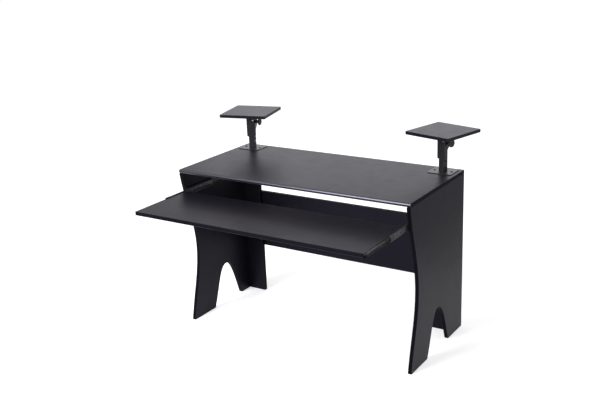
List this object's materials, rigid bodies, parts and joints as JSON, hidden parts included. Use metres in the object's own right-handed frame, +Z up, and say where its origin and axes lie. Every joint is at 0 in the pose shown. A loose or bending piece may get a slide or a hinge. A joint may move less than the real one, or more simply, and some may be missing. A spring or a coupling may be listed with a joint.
{
  "type": "studio desk",
  "caption": "Black studio desk with curved side panels, a keyboard tray that pulls out on ball-bearing runners, and toed-in monitor stands that turn, lift and tilt.",
  "frame": {"origin": "on the floor, under the middle of the bounding box with the tray pulled out", "axes": "+X to the right of a person sitting at the desk, +Y to the back, +Z up"},
  "size_m": [1.3552, 0.9898, 0.9813],
  "materials": {
    "board": "black satin laminate on 18 mm board",
    "powder_coated_steel": "black satin powder coat",
    "zinc_steel": "bright zinc plate",
    "dark_steel": "dark plated steel",
    "black_plastic": "matt black moulding",
    "ball_steel": "polished bearing steel"
  },
  "bodies": {
    "frame": {"desktop": "board", "side_panel_left": "board", "side_panel_right": "board", "return_panel_left": "board", "return_panel_right": "board", "rear_panel": "board", "runner_outer_left": "powder_coated_steel", "stand_plate_left": "powder_coated_steel", "plate_screw_inner_left": "powder_coated_steel", "plate_screw_outer_left": "powder_coated_steel", "runner_outer_right": "powder_coated_steel", "stand_plate_right": "powder_coated_steel", "plate_screw_inner_right": "powder_coated_steel", "plate_screw_outer_right": "powder_coated_steel"},
    "tray": {"keyboard_tray": "board", "runner_inner_left": "dark_steel", "release_lever_left": "black_plastic", "runner_inner_right": "dark_steel", "release_lever_right": "black_plastic"},
    "runner_middle_left": {"runner_middle_left": "zinc_steel", "runner_bumper_left": "black_plastic"},
    "ball_cage_outer_left": {"ball_cage_outer_left": "ball_steel"},
    "ball_cage_inner_left": {"ball_cage_inner_left": "ball_steel"},
    "swivel_left": {"swivel_tube_left": "dark_steel"},
    "mast_left": {"mast_left": "powder_coated_steel", "clamp_screw_lower_left": "powder_coated_steel", "clamp_screw_upper_left": "powder_coated_steel", "tilt_head_left": "powder_coated_steel", "head_screw_left": "zinc_steel", "corner_screw_left": "zinc_steel", "pivot_bolt_left": "powder_coated_steel"},
    "platform_left": {"tilt_bracket_left": "powder_coated_steel", "platform_left": "board", "platform_screw_1_left": "powder_coated_steel", "platform_screw_2_left": "powder_coated_steel", "platform_screw_3_left": "powder_coated_steel", "platform_screw_4_left": "powder_coated_steel"},
    "tilt_knob_left": {"tilt_knob_left": "black_plastic"},
    "runner_middle_right": {"runner_middle_right": "zinc_steel", "runner_bumper_right": "black_plastic"},
    "ball_cage_outer_right": {"ball_cage_outer_right": "ball_steel"},
    "ball_cage_inner_right": {"ball_cage_inner_right": "ball_steel"},
    "swivel_right": {"swivel_tube_right": "dark_steel"},
    "mast_right": {"mast_right": "powder_coated_steel", "clamp_screw_lower_right": "powder_coated_steel", "clamp_screw_upper_right": "powder_coated_steel", "tilt_head_right": "powder_coated_steel", "head_screw_right": "zinc_steel", "corner_screw_right": "zinc_steel", "pivot_bolt_right": "powder_coated_steel"},
    "platform_right": {"tilt_bracket_right": "powder_coated_steel", "platform_right": "board", "platform_screw_1_right": "powder_coated_steel", "platform_screw_2_right": "powder_coated_steel", "platform_screw_3_right": "powder_coated_steel", "platform_screw_4_right": "powder_coated_steel"},
    "tilt_knob_right": {"tilt_knob_right": "black_plastic"}
  },
  "joints": [
    {"name": "tray_slide", "type": "slide", "parent": "frame", "child": "tray", "axis": [0, 1, 0], "range_m": [0, 0.354]},
    {"name": "runner_middle_slide_left", "type": "slide", "parent": "frame", "child": "runner_middle_left", "axis": [0, 1, 0], "range_m": [0, 0.149]},
    {"name": "ball_cage_outer_slide_left", "type": "slide", "parent": "frame", "child": "ball_cage_outer_left", "axis": [0, 1, 0], "range_m": [0, 0.0745]},
    {"name": "ball_cage_inner_slide_left", "type": "slide", "parent": "frame", "child": "ball_cage_inner_left", "axis": [0, 1, 0], "range_m": [0, 0.252]},
    {"name": "stand_swivel_left", "type": "hinge", "parent": "frame", "child": "swivel_left", "pos_m": [-0.533, 0.35313, 0.787], "axis": [0, 0, 1], "range_deg": [-45, 45]},
    {"name": "mast_slide_left", "type": "slide", "parent": "swivel_left", "child": "mast_left", "axis": [0, 0, 1], "range_m": [0, 0.04]},
    {"name": "platform_tilt_left", "type": "hinge", "parent": "mast_left", "child": "platform_left", "pos_m": [-0.53445, 0.35895, 0.924], "axis": [0.9703, 0.2419, 0], "range_deg": [-20, 20]},
    {"name": "tilt_knob_turn_left", "type": "hinge", "parent": "mast_left", "child": "tilt_knob_left", "pos_m": [-0.53445, 0.35895, 0.924], "axis": [0.9703, 0.2419, 0], "range_deg": [-180, 180]},
    {"name": "runner_middle_slide_right", "type": "slide", "parent": "frame", "child": "runner_middle_right", "axis": [0, 1, 0], "range_m": [0, 0.149]},
    {"name": "ball_cage_outer_slide_right", "type": "slide", "parent": "frame", "child": "ball_cage_outer_right", "axis": [0, 1, 0], "range_m": [0, 0.0745]},
    {"name": "ball_cage_inner_slide_right", "type": "slide", "parent": "frame", "child": "ball_cage_inner_right", "axis": [0, 1, 0], "range_m": [0, 0.252]},
    {"name": "stand_swivel_right", "type": "hinge", "parent": "frame", "child": "swivel_right", "pos_m": [0.533, 0.35313, 0.787], "axis": [0, 0, 1], "range_deg": [-45, 45]},
    {"name": "mast_slide_right", "type": "slide", "parent": "swivel_right", "child": "mast_right", "axis": [0, 0, 1], "range_m": [0, 0.04]},
    {"name": "platform_tilt_right", "type": "hinge", "parent": "mast_right", "child": "platform_right", "pos_m": [0.53445, 0.35895, 0.924], "axis": [0.9703, -0.2419, 0], "range_deg": [-20, 20]},
    {"name": "tilt_knob_turn_right", "type": "hinge", "parent": "mast_right", "child": "tilt_knob_right", "pos_m": [0.53445, 0.35895, 0.924], "axis": [0.9703, -0.2419, 0], "range_deg": [-180, 180]}
  ],
  "couplings": [
    {"joint": "runner_middle_slide_left", "follows": "tray_slide", "ratio": 0.42},
    {"joint": "ball_cage_outer_slide_left", "follows": "tray_slide", "ratio": 0.21},
    {"joint": "ball_cage_inner_slide_left", "follows": "tray_slide", "ratio": 0.71},
    {"joint": "runner_middle_slide_right", "follows": "tray_slide", "ratio": 0.42},
    {"joint": "ball_cage_outer_slide_right", "follows": "tray_slide", "ratio": 0.21},
    {"joint": "ball_cage_inner_slide_right", "follows": "tray_slide", "ratio": 0.71}
  ]
}
